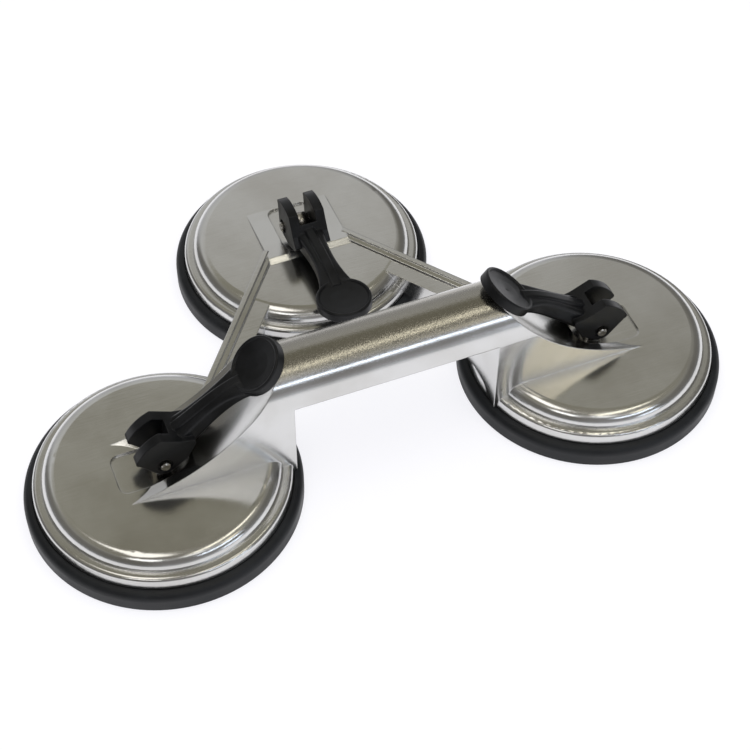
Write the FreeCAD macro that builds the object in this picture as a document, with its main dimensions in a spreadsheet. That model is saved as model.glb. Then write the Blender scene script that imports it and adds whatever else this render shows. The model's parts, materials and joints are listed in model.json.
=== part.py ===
import FreeCAD, Part
import math
import os
import re
import Sketcher
from FreeCAD import Placement, Rotation, Vector

# Three-cup suction lifter: one cast frame carries a lever-worked cup under each of its domes.
# Frame of the whole part: floor at Z = 0, handle bar along X, single cup towards +Y.
# Frame of one cup: its own axis at X = Y = 0, X towards the hand that folds the lever in.

sizeTable = {
    # layout
    "cupSpacing": 199.0,
    "rearReach": 102.6,
    # rubber disc
    "lipReach": 4.0,
    "lipHeight": 6.4,
    "collarTop": 10.0,
    "collarFlat": 0.7,
    "soleDish": 1.6,
    "sealWidth": 9.0,
    "sealRelief": 0.8,
    "grooveFloor": 4.2,
    "sheetTop": 4.4,
    "innerCollarTop": 7.6,
    "innerCollarWall": 2.8,
    "rubberFit": 0.15,
    # cast dome
    "rimRadius": 55.0,
    "rimWall": 3.0,
    "rimTop": 13.3,
    "rimRound": 2.0,
    "rimDraft": 0.5,
    "shoulderSet": 4.6,
    "domeTop": 21.4,
    "domeSkin": 4.0,
    "haunch": 5.0,
    "guideRadius": 7.0,
    "guideDrop": 2.9,
    # handle bar, pedestals and the scoops that clear the folded levers
    "barRadius": 16.4,
    "barAxis": 50.6,
    "barWall": 3.4,
    "barHollow": 62.0,
    "barEnd": 24.5,
    "webInset": 1.0,
    "webTip": 17.6,
    "webClear": 0.4,
    "webTipHeight": 8.0,
    "scoopReach": 32.9,
    "scoopAxis": 113.1,
    "scoopRing": 56.5,
    "scoopRound": 40.0,
    # arms and rear platform
    "armWidth": 12.4,
    "armStart": 14.9,
    "armStartBack": 8.5,
    "armSlope": 0.765,
    "armTop": 21.3,
    "railWidth": 2.2,
    "railStep": 0.6,
    "railSkirt": 4.6,
    "armBase": 11.4,
    "armRoof": 3.4,
    "armWall": 2.8,
    "armBite": 3.0,
    "armCoreStart": 44.0,
    "armCoreEnd": 62.0,
    "platformHalf": 19.6,
    "platformFront": 13.6,
    "platformRiser": 2.6,
    "platformRise": 1.7,
    "platformBack": 20.6,
    # pocket that the lever's fork stands in
    "pocketFloor": 20.4,
    "pocketHalf": 10.2,
    "pocketOuter": 20.0,
    "pocketInner": 10.8,
    "pocketNose": 6.0,
    "pocketCorner": 4.0,
    # steel plate, post, nut, washer and spring
    "plateRadius": 30.0,
    "plateThick": 1.8,
    "plateRim": 0.8,
    "threadRadius": 4.0,
    "threadFit": 0.03,
    "threadChamfer": 0.6,
    "nutThick": 2.8,
    "nutFlats": 13.0,
    "nutCone": 2.0,
    "postRadius": 5.0,
    "postFit": 0.08,
    "eyeThick": 7.4,
    "flatsStart": 15.2,
    "washerFit": 0.3,
    "washerOuter": 11.0,
    "washerThick": 1.0,
    "springWire": 0.6,
    "springRadius": 9.2,
    "springTurns": 2.5,
    "springGap": 0.15,
    # lever and its pin
    "pinHeight": 29.8,
    "pinRadius": 2.2,
    "pinSink": 0.9,
    "pinSinkRadius": 3.4,
    "pinHalf": 9.8,
    "pinEnd": 0.5,
    "pinFit": 0.05,
    "pressFit": 0.01,
    "forkWidth": 16.8,
    "forkGap": 8.0,
    "crotchReach": 5.7,
    "crotchTurn": 60.0,
    "crotchTop": 4.4,
    "crotchRise": 1.4,
    "leverDroop": 34.0,
    "hubRadius": 5.4,
    "hubLeft": 3.6,
    "hubRight": 2.8,
    "heelReach": 9.6,
    "heelRise": 0.4,
    "backReach": 13.8,
    "backLow": 8.2,
    "backHigh": 10.6,
    "shoulderReach": 8.6,
    "shoulderRise": 11.8,
    "earTop": 16.2,
    "earLean": 0.4,
    "camRadius": 20.0,
    "tipReach": 11.3,
    "tipHigh": 6.75,
    "tipLow": 4.05,
    "tipBack": 10.5,
    "tipRound": 1.6,
    "neckReach0": 8.6,
    "neckHeight0": 7.4,
    "neckLean0": 35.0,
    "neckWide0": 12.8,
    "neckThick0": 9.4,
    "neckReach1": 19.0,
    "neckHeight1": 15.2,
    "neckLean1": 36.0,
    "neckWide1": 10.2,
    "neckThick1": 8.6,
    "neckReach2": 29.0,
    "neckHeight2": 22.8,
    "neckLean2": 39.0,
    "neckWide2": 10.8,
    "neckThick2": 7.4,
    "neckReach3": 38.1,
    "neckHeight3": 28.7,
    "neckLean3": 40.0,
    "neckWide3": 17.0,
    "neckThick3": 4.4,
    "neckRound": 2.0,
    "ribWide": 4.8,
    "ribRise": 1.4,
    "ribFade": 0.3,
    "ribRound": 1.1,
    "padReach": 44.5,
    "padHeight": 34.8,
    "padTilt": 40.0,
    "padRadius": 12.4,
    "padRim": 2.6,
    "padRimWidth": 1.6,
    "padDish": 1.4,
    "padBelly": 2.6,
    "padEdge": 1.8,
}

# where each cup stands, and which way its own X axis points
cupPlaces = (("left", "-1 * cupSpacing / 2", "-1 * rearReach / 2", "0"),
             ("right", "cupSpacing / 2", "-1 * rearReach / 2", "180"),
             ("rear", "0", "rearReach / 2", "-90"))

doc = FreeCAD.newDocument("SuctionLifter")
sheet = doc.addObject("Spreadsheet::Sheet", "Sizes")
for row, (alias, number) in enumerate(sizeTable.items(), start=1):
    sheet.set("A%d" % row, alias)
    sheet.set("B%d" % row, str(number))
    sheet.setAlias("B%d" % row, alias)
doc.recompute()


def named(formula):
    """Put the sheet's name before each size in a formula."""
    return re.sub(r"[A-Za-z]\w*", lambda word: ("Sizes." if word[0] in sizeTable else "") + word[0], formula)


def value(formula):
    return float(sheet.evalExpression(named(formula)))


def newBody(label):
    body = doc.addObject("PartDesign::Body", label)
    body.Label = label
    return body


def newSketch(body, name, role, tilt=None, **offsets):
    """A sketch on one of the body's own planes, moved and turned within it by named sizes."""
    sketch = body.newObject("Sketcher::SketchObject", name)
    plane = next(item for item in body.Origin.OriginFeatures if item.Role == role)
    sketch.AttachmentSupport = [(plane, "")]
    sketch.MapMode = "FlatFace"
    if tilt:
        axis, angle = tilt
        sketch.AttachmentOffset = Placement(Vector(0, 0, 0), Rotation(axis, value(angle)))
        sketch.setExpression("AttachmentOffset.Rotation.Angle", named(angle))
    for path, formula in offsets.items():
        sketch.setExpression("AttachmentOffset.Base." + path, named(formula))
    return sketch


def drawOutline(sketch, corners):
    """Closed outline. A corner is (x, y) or (x, y, radius, turn) when an arc leaves it.

    turn is +1 for an arc that runs counter-clockwise and -1 for a clockwise one.
    """
    places = [Vector(value(corner[0]), value(corner[1]), 0) for corner in corners]
    ends = []
    for number, corner in enumerate(corners):
        here = places[number]
        there = places[(number + 1) % len(corners)]
        if len(corner) == 2:
            sketch.addGeometry(Part.LineSegment(here, there), False)
            ends.append((1, 2))
            continue
        radius = value(corner[2])
        turn = corner[3]
        chord = there - here
        side = Vector(-chord.y, chord.x, 0).normalize() * turn
        rise = math.sqrt(max(radius ** 2 - (chord.Length / 2) ** 2, 0))
        centre = (here + there) * 0.5 + side * rise
        start, stop = (here, there) if turn > 0 else (there, here)
        angles = [math.atan2(spot.y - centre.y, spot.x - centre.x) for spot in (start, stop)]
        circle = Part.Circle(centre, Vector(0, 0, 1), radius)
        sketch.addGeometry(Part.ArcOfCircle(circle, angles[0], angles[1]), False)
        ends.append((1, 2) if turn > 0 else (2, 1))
    for number, corner in enumerate(corners):
        follower = (number + 1) % len(corners)
        sketch.addConstraint(Sketcher.Constraint(
            "Coincident", number, ends[number][1], follower, ends[follower][0]))
    for number, corner in enumerate(corners):
        rules = [("DistanceX", corner[0]), ("DistanceY", corner[1])]
        for kind, formula in rules:
            index = sketch.addConstraint(Sketcher.Constraint(
                kind, -1, 1, number, ends[number][0], value(formula)))
            sketch.setExpression("Constraints[%d]" % index, named(formula))
        if len(corner) > 2:
            index = sketch.addConstraint(Sketcher.Constraint("Radius", number, value(corner[2])))
            sketch.setExpression("Constraints[%d]" % index, named(corner[2]))


def drawCircle(sketch, x, y, radius):
    index = sketch.addGeometry(
        Part.Circle(Vector(value(x), value(y), 0), Vector(0, 0, 1), value(radius)), False)
    for kind, formula in (("DistanceX", x), ("DistanceY", y)):
        rule = sketch.addConstraint(Sketcher.Constraint(kind, -1, 1, index, 3, value(formula)))
        sketch.setExpression("Constraints[%d]" % rule, named(formula))
    rule = sketch.addConstraint(Sketcher.Constraint("Radius", index, value(radius)))
    sketch.setExpression("Constraints[%d]" % rule, named(radius))


def addFeature(body, kind, name, sketch, **settings):
    feature = body.newObject("PartDesign::" + kind, name)
    feature.Profile = sketch
    for key, setting in settings.items():
        if isinstance(setting, str) and key in ("Length", "Length2"):
            feature.setExpression(key, named(setting))
        else:
            setattr(feature, key, setting)
    sketch.Visibility = False
    return feature


def turnedBody(label, corners):
    """A turned piece: an outline in the XZ plane spun about its vertical axis."""
    body = newBody(label)
    sketch = newSketch(body, label + "Profile", "XZ_Plane")
    drawOutline(sketch, corners)
    addFeature(body, "Revolution", label + "Turned", sketch, ReferenceAxis=(sketch, ["V_Axis"]), Angle=360)
    return body


# Pieces of one cup, each in that cup's own frame.

def buildDisc(label):
    return turnedBody(label, [
        ("0", "soleDish"),
        ("rimRadius + lipReach - sealWidth - 2 * sealRelief", "sealRelief"),
        ("rimRadius + lipReach - sealWidth", "0"),
        ("rimRadius + lipReach - sealRelief", "0"),
        ("rimRadius + lipReach", "sealRelief"),
        ("rimRadius + lipReach", "lipHeight", "collarTop - lipHeight", 1),
        ("rimRadius + rubberFit + collarFlat", "collarTop"),
        ("rimRadius + rubberFit", "collarTop"),
        ("rimRadius + rubberFit", "grooveFloor"),
        ("rimRadius - rimWall - rubberFit", "grooveFloor"),
        ("rimRadius - rimWall - rubberFit", "innerCollarTop"),
        ("rimRadius - rimWall - innerCollarWall", "innerCollarTop"),
        ("rimRadius - rimWall - 2 * innerCollarWall", "sheetTop"),
        ("0", "sheetTop"),
    ])


def buildPlate(label):
    return turnedBody(label, [
        ("threadRadius + threadFit", "sheetTop"),
        ("plateRadius - plateRim", "sheetTop"),
        ("plateRadius", "sheetTop + plateRim"),
        ("plateRadius", "sheetTop + plateThick"),
        ("threadRadius + threadFit", "sheetTop + plateThick"),
    ])


def buildPost(label):
    body = turnedBody(label, [
        ("0", "sheetTop"),
        ("threadRadius - threadChamfer", "sheetTop"),
        ("threadRadius", "sheetTop + threadChamfer"),
        ("threadRadius", "sheetTop + plateThick + nutThick"),
        ("postRadius", "sheetTop + plateThick + nutThick"),
        ("postRadius", "pinHeight", "postRadius", 1),
        ("0", "pinHeight + postRadius"),
    ])
    for side, name in ((-1, "Near"), (1, "Far")):
        flat = newSketch(body, label + name + "FlatProfile", "YZ_Plane")
        drawOutline(flat, [
            ("%d * eyeThick / 2" % side, "flatsStart"),
            ("%d * 2 * postRadius" % side, "flatsStart"),
            ("%d * 2 * postRadius" % side, "pinHeight + 2 * postRadius"),
            ("%d * eyeThick / 2" % side, "pinHeight + 2 * postRadius"),
        ])
        addFeature(body, "Pocket", label + name + "Flat", flat, SideType="Symmetric", Length="4 * postRadius")
    eye = newSketch(body, label + "EyeProfile", "XZ_Plane")
    drawCircle(eye, "0", "pinHeight", "pinRadius + pinFit")
    addFeature(body, "Pocket", label + "Eye", eye, SideType="Symmetric", Length="4 * postRadius")
    return body


def buildNut(label):
    body = newBody(label)
    corner = "nutFlats / sqrt(3)"
    sketch = newSketch(body, label + "Profile", "XY_Plane", z="sheetTop + plateThick")
    drawOutline(sketch, [
        ("%s * %s" % (corner, across), "%s * %s" % (corner, along))
        for across, along in (("1", "0"), ("0.5", "sqrt(3) / 2"), ("-0.5", "sqrt(3) / 2"),
                              ("-1", "0"), ("-0.5", "-1 * sqrt(3) / 2"), ("0.5", "-1 * sqrt(3) / 2"))
    ])
    addFeature(body, "Pad", label + "Hexagon", sketch, Length="nutThick")
    bore = newSketch(body, label + "BoreProfile", "XY_Plane", z="sheetTop + plateThick")
    drawCircle(bore, "0", "0", "threadRadius + threadFit")
    addFeature(body, "Pocket", label + "Bore", bore, Reversed=True, Length="2 * nutThick")
    for level, toward, name in (("sheetTop + plateThick + nutThick", -1, "Top"),
                                ("sheetTop + plateThick", 1, "Foot")):
        cone = newSketch(body, label + name + "Profile", "XZ_Plane")
        drawOutline(cone, [
            ("nutFlats / 2", level),
            ("nutFlats / 2 + nutCone", level),
            ("nutFlats / 2 + nutCone", "%s + %d * nutCone / sqrt(3)" % (level, toward)),
        ])
        addFeature(body, "Groove", label + name + "Chamfer", cone,
                   ReferenceAxis=(cone, ["V_Axis"]), Angle=360)
    return body


def buildWasher(label):
    return turnedBody(label, [
        ("guideRadius + washerFit", "domeTop - domeSkin - washerThick"),
        ("washerOuter", "domeTop - domeSkin - washerThick"),
        ("washerOuter", "domeTop - domeSkin"),
        ("guideRadius + washerFit", "domeTop - domeSkin"),
    ])


def buildSpring(label):
    body = newBody(label)
    seat = "sheetTop + plateThick + springGap + springWire"
    crown = "domeTop - domeSkin - washerThick - springGap - springWire"
    wire = newSketch(body, label + "Wire", "XZ_Plane")
    drawOutline(wire, [
        ("springRadius - springWire", "%s - springWire" % seat),
        ("springRadius + springWire", "%s - springWire" % seat),
        ("springRadius + springWire", "%s + springWire" % seat),
        ("springRadius - springWire", "%s + springWire" % seat),
    ])
    coil = body.newObject("PartDesign::AdditiveHelix", label + "Coil")
    coil.Profile = wire
    coil.ReferenceAxis = (wire, ["V_Axis"])
    coil.Mode = "height-turns-angle"
    coil.setExpression("Height", named("%s - (%s)" % (crown, seat)))
    coil.setExpression("Turns", named("springTurns"))
    wire.Visibility = False
    return body


def buildPin(label):
    body = newBody(label)
    sketch = newSketch(body, label + "Profile", "YZ_Plane", y="pinHeight")
    drawOutline(sketch, [
        ("-1 * pinHalf", "0"),
        ("pinHalf", "0"),
        ("pinHalf", "pinRadius - pinEnd"),
        ("pinHalf - pinEnd", "pinRadius"),
        ("pinEnd - pinHalf", "pinRadius"),
        ("-1 * pinHalf", "pinRadius - pinEnd"),
    ])
    addFeature(body, "Revolution", label + "Turned", sketch, ReferenceAxis=(sketch, ["H_Axis"]), Angle=360)
    return body


def buildLever(label):
    """Moulded lever: cam-nosed fork on the pin, bent neck, dished thumb pad."""
    body = newBody(label)
    ears = newSketch(body, label + "EarProfile", "XZ_Plane", y="pinHeight")
    drawOutline(ears, [
        ("-1 * hubLeft", "-1 * sqrt(hubRadius ^ 2 - hubLeft ^ 2)", "hubRadius", 1),
        ("hubRight", "-1 * sqrt(hubRadius ^ 2 - hubRight ^ 2)"),
        ("heelReach", "heelRise"),
        ("backReach", "backLow"),
        ("backReach", "backHigh"),
        ("shoulderReach", "shoulderRise"),
        ("-1 * earLean", "earTop", "camRadius", 1),
        ("-1 * tipReach", "tipHigh", "tipRound", 1),
        ("-1 * tipBack", "tipLow"),
    ])
    addFeature(body, "Pad", label + "Ears", ears, SideType="Symmetric", Length="forkWidth")
    # the neck, then the raised rib along its back: sections square to the neck's own slope
    for strip, wide, low, high, corner in (
            ("Neck", "neckWide%d / 2", "-1 * neckThick%d / 2", "neckThick%d / 2", "neckRound"),
            ("Rib", "ribWide / 2", "0", "neckThick%d / 2 + ribRise - %d * ribFade", "ribRound")):
        sections = []
        for station in range(4):
            section = newSketch(body, "%s%s%d" % (label, strip, station), "YZ_Plane",
                                tilt=(Vector(1, 0, 0), "-1 * neckLean%d" % station),
                                y="pinHeight + neckHeight%d" % station, z="neckReach%d" % station)
            side, foot, crown = (text.replace("%d", str(station)) for text in (wide, low, high))
            drawOutline(section, [
                ("%s - (%s)" % (corner, side), foot),
                ("%s - %s" % (side, corner), foot, corner, 1),
                (side, "%s + %s" % (foot, corner)),
                (side, "%s - %s" % (crown, corner), corner, 1),
                ("%s - %s" % (side, corner), crown),
                ("%s - (%s)" % (corner, side), crown, corner, 1),
                ("-1 * (%s)" % side, "%s - %s" % (crown, corner)),
                ("-1 * (%s)" % side, "%s + %s" % (foot, corner), corner, 1),
            ])
            section.Visibility = False
            sections.append(section)
        loft = body.newObject("PartDesign::AdditiveLoft", label + strip)
        loft.Profile = sections[0]
        loft.Sections = sections[1:]
    pad = newSketch(body, label + "PadProfile", "XZ_Plane", tilt=(Vector(0, 0, 1), "padTilt"),
                    x="padReach", y="pinHeight + padHeight")
    drawOutline(pad, [
        ("0", "-1 * padBelly"),
        ("padRadius * 2 / 3", "-1 * padBelly"),
        ("padRadius", "-1 * padEdge"),
        ("padRadius", "padRim - padRimWidth / 2", "padRimWidth / 2", 1),
        ("padRadius - padRimWidth", "padRim - padRimWidth / 2"),
        ("padRadius / 2", "padRim - padDish"),
        ("0", "padRim - padDish - padRimWidth / 4"),
    ])
    addFeature(body, "Revolution", label + "Pad", pad, ReferenceAxis=(pad, ["V_Axis"]), Angle=360)
    # the slot between the two prongs lets the post's eye swing through
    slot = newSketch(body, label + "SlotProfile", "XZ_Plane", y="pinHeight")
    drawOutline(slot, [
        ("-2 * tipReach", "-3 * hubRadius"),
        ("crotchReach * cos(leverDroop) + 3 * hubRadius * sin(leverDroop)",
         "crotchReach * sin(leverDroop) - 3 * hubRadius * cos(leverDroop)"),
        ("crotchReach * cos(leverDroop)", "crotchReach * sin(leverDroop)", "crotchReach", 1),
        ("crotchReach * cos(crotchTurn)", "crotchReach * sin(crotchTurn)"),
        ("crotchTop", "earTop + crotchRise"),
        ("-2 * tipReach", "earTop + crotchRise"),
    ])
    addFeature(body, "Pocket", label + "Slot", slot, SideType="Symmetric", Length="forkGap")
    hole = newSketch(body, label + "PinHoleProfile", "XZ_Plane", y="pinHeight")
    drawCircle(hole, "0", "0", "pinRadius + pressFit")
    addFeature(body, "Pocket", label + "PinHole", hole, SideType="Symmetric", Length="2 * forkWidth")
    for side, name in ((-1, "Near"), (1, "Far")):
        sink = newSketch(body, label + name + "SinkProfile", "XZ_Plane", y="pinHeight",
                         z="%d * (forkWidth / 2 - pinSink)" % side)
        drawCircle(sink, "0", "0", "pinSinkRadius")
        addFeature(body, "Pocket", label + name + "Sink", sink, Reversed=side > 0, Length="2 * pinSink")
    return body


def buildFrame(label):
    """One casting: handle bar, pedestals, scoops, arms, domes and the pockets for the forks."""
    body = newBody(label)
    front = "rearReach / 2"
    bar = newSketch(body, "barProfile", "YZ_Plane", x="-1 * " + front)
    drawOutline(bar, [
        ("-1 * barRadius", "barAxis"),
        ("barRadius", "barAxis", "barRadius", 1),
        ("0", "barAxis + barRadius", "barRadius", 1),
    ])
    addFeature(body, "Pad", "bar", bar, SideType="Symmetric", Length="cupSpacing - 2 * barEnd")
    for side, hand in ((-1, "left"), (1, "right")):
        web = newSketch(body, hand + "WebProfile", "XZ_Plane", x="%d * cupSpacing / 2" % side, z=front)
        drawOutline(web, [
            ("%d * (rimRadius - webInset)" % -side, "collarTop + webClear"),
            ("%d * (rimRadius - rimWall)" % -side, "collarTop + webClear"),
            ("%d * webTip" % side, "domeTop - domeSkin / 2"),
            ("%d * webTip" % side, "domeTop + webTipHeight"),
            ("%d * barEnd" % -side, "barAxis"),
            ("%d * (rimRadius - webInset)" % -side, "barAxis"),
        ])
        addFeature(body, "Pad", hand + "Web", web, SideType="Symmetric", Length="2 * barRadius")
    for side, hand in ((-1, "left"), (1, "right")):
        scoop = newSketch(body, hand + "ScoopProfile", "YZ_Plane", x="-1 * " + front, y="scoopAxis",
                          z="%d * (cupSpacing / 2 + scoopReach)" % side)
        drawCircle(scoop, "0", "-1 * scoopRing", "scoopRound")
        addFeature(body, "Groove", hand + "Scoop", scoop, ReferenceAxis=(scoop, ["H_Axis"]), Angle=360)
    # an arm leans outward by armSlope for each millimetre it runs forward, and a stepped rail as high
    # as the platform runs along its outer edge
    leanLength = "sqrt(1 + armSlope ^ 2)"
    for side, hand in ((-1, "left"), (1, "right")):
        arm = newSketch(body, hand + "ArmProfile", "XZ_Plane",
                        tilt=(Vector(0, 1, 0), "%d * atan(armSlope)" % side),
                        x="%d * armStart" % side, z="armStartBack - " + front)
        drawOutline(arm, [
            ("%d * armWidth / 2" % -side, "armBase"),
            ("%d * armWidth / 2" % -side, "armTop"),
            ("%d * (armWidth / 2 - railSkirt - railStep)" % side, "armTop"),
            ("%d * (armWidth / 2 - railSkirt)" % side, "domeTop + platformRise - 1.5 * railStep"),
            ("%d * (armWidth / 2 - railWidth - railStep / 2)" % side, "domeTop + platformRise - railStep"),
            ("%d * (armWidth / 2 - railWidth)" % side, "domeTop + platformRise"),
            ("%d * armWidth / 2" % side, "domeTop + platformRise"),
            ("%d * armWidth / 2" % side, "armBase"),
        ])
        addFeature(body, "Pad", hand + "Arm", arm,
                   Length="(rearReach - barRadius + armBite - armStartBack) * " + leanLength)
    platform = newSketch(body, "platformProfile", "YZ_Plane", x=front)
    drawOutline(platform, [
        ("-1 * platformFront", "domeTop - domeSkin / 2"),
        ("platformBack", "domeTop - domeSkin / 2"),
        ("platformBack", "domeTop"),
        ("platformRiser - platformFront", "domeTop + platformRise"),
        ("-1 * platformFront", "domeTop"),
    ])
    addFeature(body, "Pad", "platform", platform, SideType="Symmetric", Length="2 * platformHalf")
    for hand, across, along, heading in cupPlaces:
        dome = newSketch(body, hand + "DomeProfile", "XZ_Plane", x=across, z="-1 * (%s)" % along)
        drawOutline(dome, [
            ("0", "grooveFloor"),
            ("rimRadius", "grooveFloor"),
            ("rimRadius", "collarTop"),
            ("rimRadius - rimDraft", "rimTop", "rimRound", 1),
            ("rimRadius - rimDraft - rimRound", "rimTop + rimRound"),
            ("rimRadius - shoulderSet", "rimTop + rimRound", "domeTop - rimTop - rimRound", 1),
            ("rimRadius - shoulderSet - domeTop + rimTop + rimRound", "domeTop"),
            ("0", "domeTop"),
        ])
        addFeature(body, "Revolution", hand + "Dome", dome, ReferenceAxis=(dome, ["V_Axis"]), Angle=360)
    for hand, across, along, heading in cupPlaces:
        cavity = newSketch(body, hand + "CavityProfile", "XZ_Plane", x=across, z="-1 * (%s)" % along)
        drawOutline(cavity, [
            ("0", "grooveFloor - rimWall"),
            ("rimRadius - rimWall", "grooveFloor - rimWall"),
            ("rimRadius - rimWall", "rimTop - rimRound"),
            ("rimRadius - shoulderSet - rimWall", "rimTop + rimRound - rimWall"),
            ("rimRadius - shoulderSet - haunch", "domeTop - domeSkin"),
            ("guideRadius", "domeTop - domeSkin"),
            ("guideRadius", "domeTop - domeSkin - guideDrop"),
            ("0", "domeTop - domeSkin - guideDrop"),
        ])
        addFeature(body, "Groove", hand + "Cavity", cavity, ReferenceAxis=(cavity, ["V_Axis"]), Angle=360)
        bore = newSketch(body, hand + "BoreProfile", "XY_Plane", x=across, y=along)
        drawCircle(bore, "0", "0", "postRadius + postFit")
        addFeature(body, "Pocket", hand + "Bore", bore, Reversed=True, Length="2 * domeTop")
        pocket = newSketch(body, hand + "PocketProfile", "XY_Plane", tilt=(Vector(0, 0, 1), heading),
                           x=across, y=along, z="pocketFloor")
        drawOutline(pocket, [
            ("pocketCorner - pocketOuter", "-1 * pocketHalf"),
            ("pocketInner - pocketNose", "-1 * pocketHalf", "pocketNose", 1),
            ("pocketInner", "pocketNose - pocketHalf"),
            ("pocketInner", "pocketHalf - pocketNose", "pocketNose", 1),
            ("pocketInner - pocketNose", "pocketHalf"),
            ("pocketCorner - pocketOuter", "pocketHalf", "pocketCorner", 1),
            ("-1 * pocketOuter", "pocketHalf - pocketCorner"),
            ("-1 * pocketOuter", "pocketCorner - pocketHalf", "pocketCorner", 1),
        ])
        addFeature(body, "Pocket", hand + "Pocket", pocket, Reversed=True, Length="pinHeight")
    hollow = newSketch(body, "barHollowProfile", "YZ_Plane", x="-1 * " + front)
    drawOutline(hollow, [
        ("barWall - barRadius", "barAxis - barWall"),
        ("barRadius - barWall", "barAxis - barWall"),
        ("barRadius - barWall", "barAxis", "barRadius - barWall", 1),
        ("0", "barAxis + barRadius - barWall", "barRadius - barWall", 1),
        ("barWall - barRadius", "barAxis"),
    ])
    addFeature(body, "Pocket", "barHollow", hollow, SideType="Symmetric", Length="barHollow")
    coreAcross = "(armWidth / 2 - armWall) * " + leanLength
    for side, hand in ((-1, "left"), (1, "right")):
        core = newSketch(body, hand + "ArmCoreProfile", "XY_Plane", y=front)
        spot = "%d * (armStart + armSlope * (%s - armStartBack) %s %s)"
        drawOutline(core, [
            (spot % (side, "armCoreStart", "-", coreAcross), "-1 * armCoreStart"),
            (spot % (side, "armCoreStart", "+", coreAcross), "-1 * armCoreStart"),
            (spot % (side, "armCoreEnd", "+", coreAcross), "-1 * armCoreEnd"),
            (spot % (side, "armCoreEnd", "-", coreAcross), "-1 * armCoreEnd"),
        ])
        addFeature(body, "Pocket", hand + "ArmCore", core, Reversed=True, Length="armTop - armRoof")
    return body


buildFrame("cast_frame")

cupPieces = (("rubber_disc", buildDisc), ("backing_plate", buildPlate), ("pull_post", buildPost),
             ("lock_nut", buildNut), ("spring_washer", buildWasher), ("return_spring", buildSpring),
             ("lever", buildLever), ("pivot_pin", buildPin))
for hand, across, along, heading in cupPlaces:
    for piece, build in cupPieces:
        body = build("%s_%s" % (hand, piece))
        turn = Rotation(Vector(0, 0, 1), float(heading))
        shift = "0"
        if piece == "lever" and hand == "rear":
            # with no bar in its way, this lever hangs lower than the other two
            turn = turn.multiply(Rotation(Vector(0, 1, 0), value("leverDroop")))
            shift = "-1 * pinHeight * sin(leverDroop)"
            body.setExpression("Placement.Base.z", named("pinHeight * (1 - cos(leverDroop))"))
        body.Placement = Placement(Vector(0, 0, 0), turn)
        body.setExpression("Placement.Base.x", named("%s + (%s) * cos(%s)" % (across, shift, heading)))
        body.setExpression("Placement.Base.y", named("%s + (%s) * sin(%s)" % (along, shift, heading)))

doc.recompute()
broken = [item.Name for item in doc.Objects if "Invalid" in item.State or "Error" in item.State]
if broken:
    raise RuntimeError("failed objects: " + ", ".join(broken))
bodies = [item for item in doc.Objects if item.TypeId == "PartDesign::Body"]
for body in bodies:
    if body.Shape.isNull() or not body.Shape.isValid():
        raise RuntimeError("bad shape: " + body.Label)
os.makedirs("parts", exist_ok=True)
for body in bodies:
    body.Shape.exportStep("parts/%s.step" % body.Label)
    print("%-22s %d solid, %.0f mm3" % (body.Label, len(body.Shape.Solids), body.Shape.Volume))
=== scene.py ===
import json
import math

import bpy
from mathutils import Matrix, Vector


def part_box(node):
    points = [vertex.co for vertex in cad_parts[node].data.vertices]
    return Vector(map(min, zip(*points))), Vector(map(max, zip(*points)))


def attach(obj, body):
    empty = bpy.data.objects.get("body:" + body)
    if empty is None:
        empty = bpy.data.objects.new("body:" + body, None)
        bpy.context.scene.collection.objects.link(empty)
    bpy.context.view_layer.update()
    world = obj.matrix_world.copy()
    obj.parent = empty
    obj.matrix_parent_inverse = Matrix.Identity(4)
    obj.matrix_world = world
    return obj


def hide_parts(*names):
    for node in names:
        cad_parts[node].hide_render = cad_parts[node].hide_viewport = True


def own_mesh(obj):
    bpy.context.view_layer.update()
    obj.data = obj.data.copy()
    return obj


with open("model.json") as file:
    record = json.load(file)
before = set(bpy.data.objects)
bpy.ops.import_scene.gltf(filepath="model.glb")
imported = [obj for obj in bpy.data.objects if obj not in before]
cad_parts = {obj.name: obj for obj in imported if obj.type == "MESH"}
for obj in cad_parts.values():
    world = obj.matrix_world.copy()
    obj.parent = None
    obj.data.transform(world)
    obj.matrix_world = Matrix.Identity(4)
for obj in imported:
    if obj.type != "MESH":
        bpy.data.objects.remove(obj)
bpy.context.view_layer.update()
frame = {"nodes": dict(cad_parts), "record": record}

scene = bpy.context.scene
scene.view_settings.view_transform = "Standard"
nodes = frame["nodes"]
millimetre = 0.001
cupNames = ("left", "right", "rear")


# six sRGB hex digits as linear red, green, blue and alpha
def toLinear(hexColour):
    channels = [int(hexColour[start:start + 2], 16) / 255 for start in (0, 2, 4)]
    return [c / 12.92 if c <= 0.04045 else ((c + 0.055) / 1.055) ** 2.4 for c in channels] + [1.0]


# One node, with its settings and what goes into its sockets. A socket is given by its name, with _
# for each space, or by i and its number. Stops are a ramp's colours, as (place, hex colour).
def addNode(tree, kind, settings=None, stops=(), **inputs):
    node = tree.nodes.new(kind)
    for key, setting in (settings or {}).items():
        setattr(node, key, setting)
    if stops:
        elements = node.color_ramp.elements
        while len(elements) < len(stops):
            elements.new(0.5)
        for element, (place, hexColour) in zip(elements, stops):
            element.position = place
            element.color = toLinear(hexColour)
    for key, source in inputs.items():
        label = key.replace("_", " ")
        socket = node.inputs[int(label[1:])] if label[1:].isdigit() else node.inputs[label]
        if isinstance(source, bpy.types.NodeSocket):
            tree.links.new(source, socket)
        else:
            socket.default_value = source
    return node


def newMaterial(name):
    material = bpy.data.materials.new(name)
    material.use_nodes = True
    material.node_tree.nodes.clear()
    return material, material.node_tree


# Camera: a standing person's view of the part on a table, from a little left of it.
cameraPlan = {
    "place": (-177.0, -474.3, 590.9),  # mm
    "yaw": 22.26,                      # degrees from +Y towards +X
    "pitch": -50.52,
    "roll": 0.63,
    "lens": 81.6,                      # mm
    "sensor": 36.0,                    # mm
}


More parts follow.
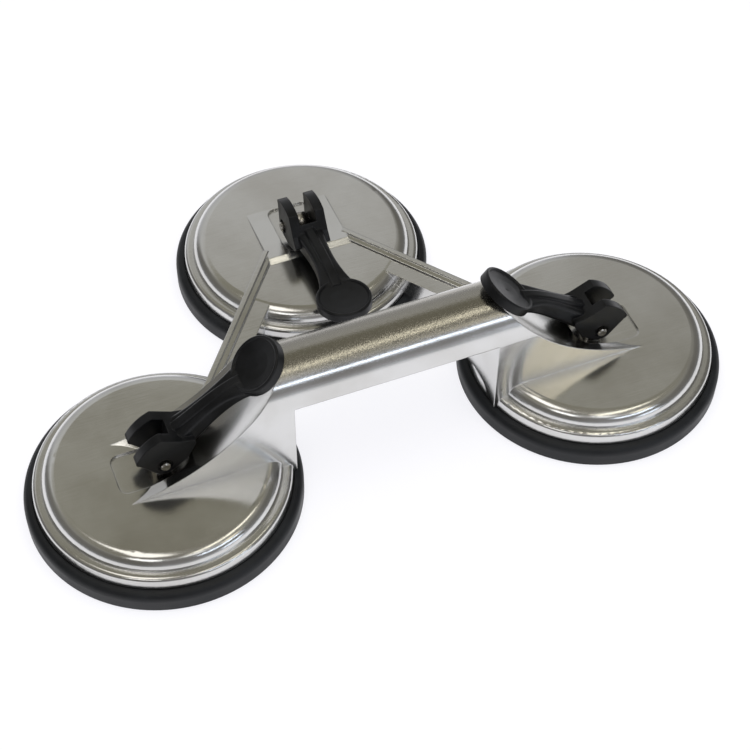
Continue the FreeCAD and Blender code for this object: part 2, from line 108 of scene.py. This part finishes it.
def placeCamera(plan):
    yaw, pitch, roll = (math.radians(plan[key]) for key in ("yaw", "pitch", "roll"))
    forward = Vector((math.sin(yaw) * math.cos(pitch),
                      math.cos(yaw) * math.cos(pitch),
                      math.sin(pitch)))
    right = Vector((math.cos(yaw), -math.sin(yaw), 0))
    up = right.cross(forward)
    turnedRight = right * math.cos(roll) + up * math.sin(roll)
    turnedUp = up * math.cos(roll) - right * math.sin(roll)
    data = bpy.data.cameras.new("tableView")
    data.lens = plan["lens"]
    data.sensor_width = plan["sensor"]
    camera = bpy.data.objects.new("tableView", data)
    scene.collection.objects.link(camera)
    axes = Matrix((turnedRight, turnedUp, -forward)).transposed()
    camera.matrix_world = Matrix.Translation(Vector(plan["place"]) * millimetre) @ axes.to_4x4()
    scene.camera = camera


placeCamera(cameraPlan)
print("camera placed")


# Studio: a white table in a grey room, with small soft boxes and strips for the glints on the
# metal, and one wide ceiling light that does most of the lighting and isn't mirrored.
studioPlan = {
    "paperColour": "f6f6f6",
    "glowColour": "fafaff",
    "glowShare": 0.72,          # how much of the table's white is its own: shadows stay faint
    "glowStrength": 1.16,
    "floorHalf": 3.0,           # m
    "floorDrop": 0.0002,        # m, keeps the table's face off the rubber's lowest face
    "farSide": (                # height of the direction, colour
        (0.00, "cacbce"), (0.20, "bcbcbe"), (0.45, "c0c0be"), (0.62, "c9c9c7"), (0.71, "c8c7c4"),
        (0.76, "9f9d92"), (0.80, "8d8a7c"), (0.90, "8b887b"), (1.00, "8a867a")),
    "nearSide": (
        (0.00, "c8cace"), (0.10, "a6a6a8"), (0.25, "8b8988"), (0.66, "838180"), (0.75, "b2b2b0"),
        (0.82, "acaba7"), (0.88, "8a8780"), (1.00, "8a877e")),
    "bothEnds": (
        (0.00, "9c9ea0"), (0.12, "7e7e7d"), (0.30, "74726e"), (0.60, "77756f"), (0.72, "94928b"),
        (0.80, "8d8a7e"), (1.00, "8a867a")),
    "depthTurn": (-0.25, 0.25),  # the direction's Y, where near side turns to far side
    "endTurn": (0.30, 0.56),     # the direction's X either way, where the ends come in
    "aim": (0.0, 0.0, 0.03),     # m, what every light points at
    "lights": (
        # name, place (m), size (m), power (W), colour, seen in reflections
        ("softBoxAbove", (-0.35, 0.02, 1.35), (0.7, 0.42), 1.5, "fffcf6", True),
        ("softBoxFront", (0.35, -0.33, 1.29), (1.0, 0.14), 1.0, "fffae8", True),
        ("softBoxCorner", (-0.75, -0.85, 1.20), (0.5, 0.30), 1.0, "ffffff", True),
        ("softBoxSpotRight", (0.66, -0.88, 1.14), (0.30, 0.24), 0.32, "fff4d4", True),
        ("softBoxSpotLeft", (0.02, -0.90, 1.20), (0.34, 0.26), 0.30, "ffffff", True),
        ("stripFront", (0.55, -1.25, 0.93), (0.9, 0.14), 1.5, "e4efff", True),
        ("stripCorner", (0.85, -1.40, 0.28), (0.5, 0.22), 0.8, "e4efff", True),
        ("ceilingFill", (0.0, 0.0, 1.60), (2.0, 2.0), 16.0, "ffffff", False),
    ),
}


def layTable(plan):
    half = plan["floorHalf"]
    corners = [(-half, -half, 0), (half, -half, 0), (half, half, 0), (-half, half, 0)]
    mesh = bpy.data.meshes.new("floor")
    mesh.from_pydata(corners, [], [(0, 1, 2, 3)])
    floor = bpy.data.objects.new("floor", mesh)
    floor.location.z = -plan["floorDrop"]
    scene.collection.objects.link(floor)

    # the camera and the metal see paper with a glow of its own; the object is lit by plain paper
    material, tree = newMaterial("whitePaper")
    paper = addNode(tree, "ShaderNodeBsdfDiffuse", Color=toLinear(plan["paperColour"]))
    glow = addNode(tree, "ShaderNodeEmission", Color=toLinear(plan["glowColour"]),
                   Strength=plan["glowStrength"])
    both = addNode(tree, "ShaderNodeMixShader", Fac=plan["glowShare"],
                   i1=paper.outputs[0], i2=glow.outputs[0])
    path = addNode(tree, "ShaderNodeLightPath")
    seen = addNode(tree, "ShaderNodeMath", {"operation": "MAXIMUM"},
                   i0=path.outputs["Is Camera Ray"], i1=path.outputs["Is Glossy Ray"])
    choice = addNode(tree, "ShaderNodeMixShader", i0=seen.outputs[0],
                     i1=paper.outputs[0], i2=both.outputs[0])
    addNode(tree, "ShaderNodeOutputMaterial", Surface=choice.outputs[0])
    mesh.materials.append(material)


def paintRoom(plan):
    world = bpy.data.worlds.new("room")
    world.use_nodes = True
    scene.world = world
    tree = world.node_tree
    tree.nodes.clear()
    direction = addNode(tree, "ShaderNodeTexCoord")
    parts = addNode(tree, "ShaderNodeSeparateXYZ", Vector=direction.outputs["Generated"])
    far, near, ends = (
        addNode(tree, "ShaderNodeValToRGB", stops=plan[side], Fac=parts.outputs["Z"])
        for side in ("farSide", "nearSide", "bothEnds"))
    turnFrom, turnTo = plan["depthTurn"]
    turn = addNode(tree, "ShaderNodeMapRange", {"interpolation_type": "SMOOTHSTEP"},
                   Value=parts.outputs["Y"], From_Min=turnFrom, From_Max=turnTo)
    depth = addNode(tree, "ShaderNodeMix", {"data_type": "RGBA"}, i0=turn.outputs[0],
                    i6=near.outputs[0], i7=far.outputs[0])
    sideways = addNode(tree, "ShaderNodeMath", {"operation": "ABSOLUTE"}, i0=parts.outputs["X"])
    endFrom, endTo = plan["endTurn"]
    end = addNode(tree, "ShaderNodeMapRange", {"interpolation_type": "SMOOTHSTEP"},
                  Value=sideways.outputs[0], From_Min=endFrom, From_Max=endTo)
    room = addNode(tree, "ShaderNodeMix", {"data_type": "RGBA"}, i0=end.outputs[0],
                   i6=depth.outputs[2], i7=ends.outputs[0])
    air = addNode(tree, "ShaderNodeBackground", Color=room.outputs[2], Strength=1.0)
    white = addNode(tree, "ShaderNodeBackground", Color=(1, 1, 1, 1), Strength=1.0)
    path = addNode(tree, "ShaderNodeLightPath")
    choice = addNode(tree, "ShaderNodeMixShader", i0=path.outputs["Is Camera Ray"],
                     i1=air.outputs[0], i2=white.outputs[0])
    addNode(tree, "ShaderNodeOutputWorld", Surface=choice.outputs[0])


def hangLights(plan):
    aim = Vector(plan["aim"])
    for name, place, size, power, colour, mirrored in plan["lights"]:
        data = bpy.data.lights.new(name, "AREA")
        data.shape = "RECTANGLE"
        data.size, data.size_y = size
        data.energy = power
        data.color = toLinear(colour)[:3]
        lamp = bpy.data.objects.new(name, data)
        lamp.location = place
        lamp.visible_glossy = mirrored
        lamp.rotation_euler = (aim - Vector(place)).to_track_quat("-Z", "Y").to_euler()
        scene.collection.objects.link(lamp)


layTable(studioPlan)
paintRoom(studioPlan)
hangLights(studioPlan)
print("studio lit")


# Aluminium, pressure cast and then polished: a near mirror on the rounded edges, fine straight
# polishing lines on the flat tops, a satin look in the corners that no wheel reaches, and the
# bare cast skin, sparkling, on the upper side of the bar, its darker colour partly painted shade.
castPlan = {
    "colour": "dadad9",
    "stain": "cbcac7",
    "satin": "d4d4d4",
    # the bar's upper side: bare cast skin, its darker colour partly painted shade
    "skinAndShade": "aaa79f",
    "cloudMm": 32.0,              # size of the patches where stain and polish change
    "roughPolished": 0.15,
    "roughFlat": 0.19,
    "roughSatin": 0.26,
    "roughSkin": (0.10, 0.32),    # between the bright specks and the dull ground
    "waveMm": 16.0,               # the wheel's slow waves
    "waveStrength": 0.05,
    "waveDepthMm": 0.5,
    "lineMm": 0.9,                # spacing of the polishing lines, drawn coarser than real ones
    "lineLengthMm": 22.0,
    "lineStrength": 0.30,
    "lineDepthMm": 0.05,
    "speckMm": 0.6,               # grain of the cast skin, drawn coarser than the real 0.2
    "speckStrength": (0.06, 0.42),    # on polished metal, on the skin
    "speckDepthMm": 0.12,
    # above this height the bar's colour turns darker: cast skin and painted shade
    "skinAndShadeHeightMm": (62.2, 64.4),     # where the bar's polished front meets its bare top
    "reachMm": 9.0,               # how far from a corner the satin reaches
    "cornerRange": (0.90, 0.60),  # openness at which the satin starts and is full
    "edgeRoundMm": 0.6,
}


def makeCastAluminium(plan):
    material, tree = newMaterial("castAluminiumPolished")
    place = addNode(tree, "ShaderNodeTexCoord").outputs["Object"]
    cloud = addNode(tree, "ShaderNodeTexNoise", Vector=place,
                    Scale=1 / (plan["cloudMm"] * millimetre), Detail=4.0)
    tint = addNode(tree, "ShaderNodeValToRGB", Fac=cloud.outputs["Fac"],
                   stops=[(0.35, plan["stain"]), (0.62, plan["colour"])])

    # where the wheel did not reach: corners, and the bar's upper side, bare cast skin whose darker
    # colour is partly painted shade
    corner = addNode(tree, "ShaderNodeAmbientOcclusion", {"samples": 8, "only_local": True},
                     Distance=plan["reachMm"] * millimetre)
    cornerFrom, cornerTo = plan["cornerRange"]
    nook = addNode(tree, "ShaderNodeMapRange", Value=corner.outputs["AO"],
                   From_Min=cornerFrom, From_Max=cornerTo)
    height = addNode(tree, "ShaderNodeSeparateXYZ", Vector=place)
    low, high = (level * millimetre for level in plan["skinAndShadeHeightMm"])
    skinAndShade = addNode(tree, "ShaderNodeMapRange", {"interpolation_type": "SMOOTHSTEP"},
                   Value=height.outputs["Z"], From_Min=low, From_Max=high)
    speck = addNode(tree, "ShaderNodeTexNoise", Vector=place,
                    Scale=1 / (plan["speckMm"] * millimetre), Detail=3.0)
    worn = addNode(tree, "ShaderNodeMix", {"data_type": "RGBA"}, i0=nook.outputs[0],
                   i6=tint.outputs[0], i7=toLinear(plan["satin"]))
    # the bar's upper side takes the darker skin colour: bare cast skin, partly painted shade
    colour = addNode(tree, "ShaderNodeMix", {"data_type": "RGBA"}, i0=skinAndShade.outputs[0],
                     i6=worn.outputs[2], i7=toLinear(plan["skinAndShade"]))

    polish = addNode(tree, "ShaderNodeMapRange", Value=cloud.outputs["Fac"],
                     From_Min=0.35, From_Max=0.65,
                     To_Min=plan["roughPolished"], To_Max=plan["roughFlat"])
    satin = addNode(tree, "ShaderNodeMapRange", Value=nook.outputs[0],
                    To_Min=polish.outputs[0], To_Max=plan["roughSatin"])
    brightest, dullest = plan["roughSkin"]
    grit = addNode(tree, "ShaderNodeMapRange", Value=speck.outputs["Fac"],
                   From_Min=0.3, From_Max=0.7, To_Min=brightest, To_Max=dullest)
    rough = addNode(tree, "ShaderNodeMapRange", Value=skinAndShade.outputs[0],
                    To_Min=satin.outputs[0], To_Max=grit.outputs[0])

    # relief: rounded edges, slow waves, polishing lines along the bar, then the specks
    edge = addNode(tree, "ShaderNodeBevel", {"samples": 6},
                   Radius=plan["edgeRoundMm"] * millimetre)
    wave = addNode(tree, "ShaderNodeTexNoise", Vector=place,
                   Scale=1 / (plan["waveMm"] * millimetre), Detail=3.0, Roughness=0.6)
    wavy = addNode(tree, "ShaderNodeBump", Height=wave.outputs["Fac"], Normal=edge.outputs[0],
                   Strength=plan["waveStrength"], Distance=plan["waveDepthMm"] * millimetre)
    lineSizes = (plan["lineLengthMm"], plan["lineMm"], plan["lineMm"])
    dash = addNode(tree, "ShaderNodeMapping", Vector=place,
                   Scale=[1 / (size * millimetre) for size in lineSizes])
    lines = addNode(tree, "ShaderNodeTexNoise", Vector=dash.outputs[0],
                    Scale=1.0, Detail=3.0, Roughness=0.7)
    brushed = addNode(tree, "ShaderNodeBump", Height=lines.outputs["Fac"], Normal=wavy.outputs[0],
                      Strength=plan["lineStrength"], Distance=plan["lineDepthMm"] * millimetre)
    faint, strong = plan["speckStrength"]
    fleck = addNode(tree, "ShaderNodeMapRange", Value=skinAndShade.outputs[0], To_Min=faint, To_Max=strong)
    fine = addNode(tree, "ShaderNodeBump", Height=speck.outputs["Fac"], Normal=brushed.outputs[0],
                   Strength=fleck.outputs[0], Distance=plan["speckDepthMm"] * millimetre)

    shader = addNode(tree, "ShaderNodeBsdfPrincipled", Base_Color=colour.outputs[2], Metallic=1.0,
                     Roughness=rough.outputs[0], Normal=fine.outputs[0])
    addNode(tree, "ShaderNodeOutputMaterial", Surface=shader.outputs[0])
    return material


# Moulded rubber: black and satin, with a faint dusty bloom and a soft pebble from the mould.
rubberPlan = {
    "colour": "111317",
    "bloom": "1d2024",
    "bloomMm": 18.0,        # size of the bloom's patches
    "rough": (0.42, 0.60),
    "pebbleMm": 0.9,
    "pebbleStrength": 0.12,
    "pebbleDepthMm": 0.1,
    "ior": 1.52,
    "specular": 0.34,
}


def makeMouldedRubber(plan):
    material, tree = newMaterial("mouldedRubber")
    place = addNode(tree, "ShaderNodeTexCoord").outputs["Object"]
    cloud = addNode(tree, "ShaderNodeTexNoise", Vector=place,
                    Scale=1 / (plan["bloomMm"] * millimetre), Detail=5.0)
    tint = addNode(tree, "ShaderNodeValToRGB", Fac=cloud.outputs["Fac"],
                   stops=[(0.40, plan["colour"]), (0.72, plan["bloom"])])
    shiny, dull = plan["rough"]
    rough = addNode(tree, "ShaderNodeMapRange", Value=cloud.outputs["Fac"],
                    From_Min=0.3, From_Max=0.7, To_Min=shiny, To_Max=dull)
    pebble = addNode(tree, "ShaderNodeTexNoise", Vector=place,
                     Scale=1 / (plan["pebbleMm"] * millimetre), Detail=3.0, Roughness=0.6)
    relief = addNode(tree, "ShaderNodeBump", Height=pebble.outputs["Fac"],
                     Strength=plan["pebbleStrength"],
                     Distance=plan["pebbleDepthMm"] * millimetre)
    shader = addNode(tree, "ShaderNodeBsdfPrincipled", Base_Color=tint.outputs[0],
                     IOR=plan["ior"], Specular_IOR_Level=plan["specular"],
                     Roughness=rough.outputs[0], Normal=relief.outputs[0])
    addNode(tree, "ShaderNodeOutputMaterial", Surface=shader.outputs[0])
    return material


# Moulded nylon: black, with a spark-eroded grain that breaks the shine and paler rubbed patches.
nylonPlan = {
    "colour": "0d0e10",
    "rub": "18191c",
    "rubMm": 9.0,           # size of the rubbed patches
    "rough": (0.29, 0.44),
    "grainMm": 0.5,         # drawn coarser than the real 0.1
    "grainStrength": 0.16,
    "grainDepthMm": 0.08,
    "edgeRoundMm": 0.7,
    "ior": 1.53,
    "specular": 0.26,
}


def makeMouldedNylon(plan):
    material, tree = newMaterial("mouldedNylon")
    place = addNode(tree, "ShaderNodeTexCoord").outputs["Object"]
    cloud = addNode(tree, "ShaderNodeTexNoise", Vector=place,
                    Scale=1 / (plan["rubMm"] * millimetre), Detail=4.0)
    tint = addNode(tree, "ShaderNodeValToRGB", Fac=cloud.outputs["Fac"],
                   stops=[(0.42, plan["colour"]), (0.75, plan["rub"])])
    shiny, dull = plan["rough"]
    rough = addNode(tree, "ShaderNodeMapRange", Value=cloud.outputs["Fac"],
                    From_Min=0.3, From_Max=0.7, To_Min=shiny, To_Max=dull)
    edge = addNode(tree, "ShaderNodeBevel", {"samples": 6},
                   Radius=plan["edgeRoundMm"] * millimetre)
    grain = addNode(tree, "ShaderNodeTexNoise", Vector=place,
                    Scale=1 / (plan["grainMm"] * millimetre), Detail=3.0, Roughness=0.6)
    relief = addNode(tree, "ShaderNodeBump", Height=grain.outputs["Fac"], Normal=edge.outputs[0],
                     Strength=plan["grainStrength"], Distance=plan["grainDepthMm"] * millimetre)
    shader = addNode(tree, "ShaderNodeBsdfPrincipled", Base_Color=tint.outputs[0],
                     IOR=plan["ior"], Specular_IOR_Level=plan["specular"],
                     Roughness=rough.outputs[0], Normal=relief.outputs[0])
    addNode(tree, "ShaderNodeOutputMaterial", Surface=shader.outputs[0])
    return material


# Steel in three makes: turned, bright and close-grained; zinc plated, bluish with a soft mottle;
# drawn spring wire, the darkest. The grain is drawn coarser than the tool's real marks.
steelPlan = {
    "turned": {
        "name": "turnedSteel", "colour": "c2bfb9", "shade": "9a9690",
        "rough": (0.19, 0.32), "grainMm": 0.3,
    },
    "zincPlated": {
        "name": "zincPlatedSteel", "colour": "b9bcc2", "shade": "989ba3",
        "rough": (0.27, 0.40), "grainMm": 0.8,
    },
    "drawn": {
        "name": "drawnSpringSteel", "colour": "8e8c8a", "shade": "6c6a69",
        "rough": (0.25, 0.38), "grainMm": 0.4,
    },
    "cloudMm": 3.0,         # size of the darker patches
    "grainStrength": 0.2,
    "grainDepthMm": 0.04,
    "edgeRoundMm": 0.2,
}


def makeSteel(plan, make):
    steel = plan[make]
    material, tree = newMaterial(steel["name"])
    place = addNode(tree, "ShaderNodeTexCoord").outputs["Object"]
    cloud = addNode(tree, "ShaderNodeTexNoise", Vector=place,
                    Scale=1 / (plan["cloudMm"] * millimetre), Detail=3.0)
    tint = addNode(tree, "ShaderNodeValToRGB", Fac=cloud.outputs["Fac"],
                   stops=[(0.40, steel["shade"]), (0.65, steel["colour"])])
    shiny, dull = steel["rough"]
    rough = addNode(tree, "ShaderNodeMapRange", Value=cloud.outputs["Fac"],
                    From_Min=0.3, From_Max=0.7, To_Min=shiny, To_Max=dull)
    edge = addNode(tree, "ShaderNodeBevel", {"samples": 4},
                   Radius=plan["edgeRoundMm"] * millimetre)
    grain = addNode(tree, "ShaderNodeTexNoise", Vector=place,
                    Scale=1 / (steel["grainMm"] * millimetre), Detail=3.0, Roughness=0.6)
    relief = addNode(tree, "ShaderNodeBump", Height=grain.outputs["Fac"], Normal=edge.outputs[0],
                     Strength=plan["grainStrength"], Distance=plan["grainDepthMm"] * millimetre)
    shader = addNode(tree, "ShaderNodeBsdfPrincipled", Base_Color=tint.outputs[0], Metallic=1.0,
                     Roughness=rough.outputs[0], Normal=relief.outputs[0])
    addNode(tree, "ShaderNodeOutputMaterial", Surface=shader.outputs[0])
    return material


finishes = {
    "cast_aluminium": makeCastAluminium(castPlan),
    "rubber": makeMouldedRubber(rubberPlan),
    "nylon": makeMouldedNylon(nylonPlan),
    "steel": makeSteel(steelPlan, "turned"),
    "zinc_steel": makeSteel(steelPlan, "zincPlated"),
    "spring_steel": makeSteel(steelPlan, "drawn"),
}
for part in frame["record"]["subparts"]:
    mesh = nodes[part["node"]].data
    mesh.materials.clear()
    mesh.materials.append(finishes[part["material_slot"]])
print("finishes laid on", len(nodes), "pieces")


# Return spring: a short round-wire coil between the backing plate and the washer. Its end turns
# lie flat.
springPlan = {
    "wireMm": 1.2,
    "turns": 2.5,
    "flatTurns": 0.6,       # at each end
    "stepsPerTurn": 48,
    "wireSides": 14,
}


def coilSpring(cup, plan):
    node = f"{cup}_return_spring"
    low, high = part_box(node)
    wire = plan["wireMm"] * millimetre / 2
    foot = Vector(((low.x + high.x) / 2, (low.y + high.y) / 2, low.z + wire))
    radius = (high.x - low.x) / 2 - wire
    rise = high.z - low.z - 2 * wire
    climbingTurns = plan["turns"] - 2 * plan["flatTurns"]
    steps, sides = round(plan["turns"] * plan["stepsPerTurn"]), plan["wireSides"]
    upward = Vector((0, 0, 1))
    vertices, faces = [], []
    for step in range(steps + 1):
        turned = plan["turns"] * step / steps
        climb = min(max((turned - plan["flatTurns"]) / climbingTurns, 0), 1)
        climb = climb * climb * (3 - 2 * climb)
        angle = 2 * math.pi * turned
        outward = Vector((math.cos(angle), math.sin(angle), 0))
        middle = foot + outward * radius + upward * rise * climb
        for side in range(sides):
            around = 2 * math.pi * side / sides
            rim = outward * math.cos(around) + upward * math.sin(around)
            vertices.append(middle + rim * wire)
    for step in range(steps):
        for side in range(sides):
            after = (side + 1) % sides
            faces.append((step * sides + side, (step + 1) * sides + side,
                          (step + 1) * sides + after, step * sides + after))
    faces.append(tuple(range(sides)))
    faces.append(tuple(steps * sides + side for side in reversed(range(sides))))
    mesh = bpy.data.meshes.new(f"{cup}SpringCoil")
    mesh.from_pydata(vertices, [], faces)
    for face in mesh.polygons:
        face.use_smooth = len(face.vertices) == 4
    mesh.materials.append(finishes["spring_steel"])
    spring = bpy.data.objects.new(f"{cup}_spring_coil", mesh)
    scene.collection.objects.link(spring)

    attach(spring, "root")
    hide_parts(node)
    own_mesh(spring)


for cup in cupNames:
    coilSpring(cup, springPlan)
print("springs wound")
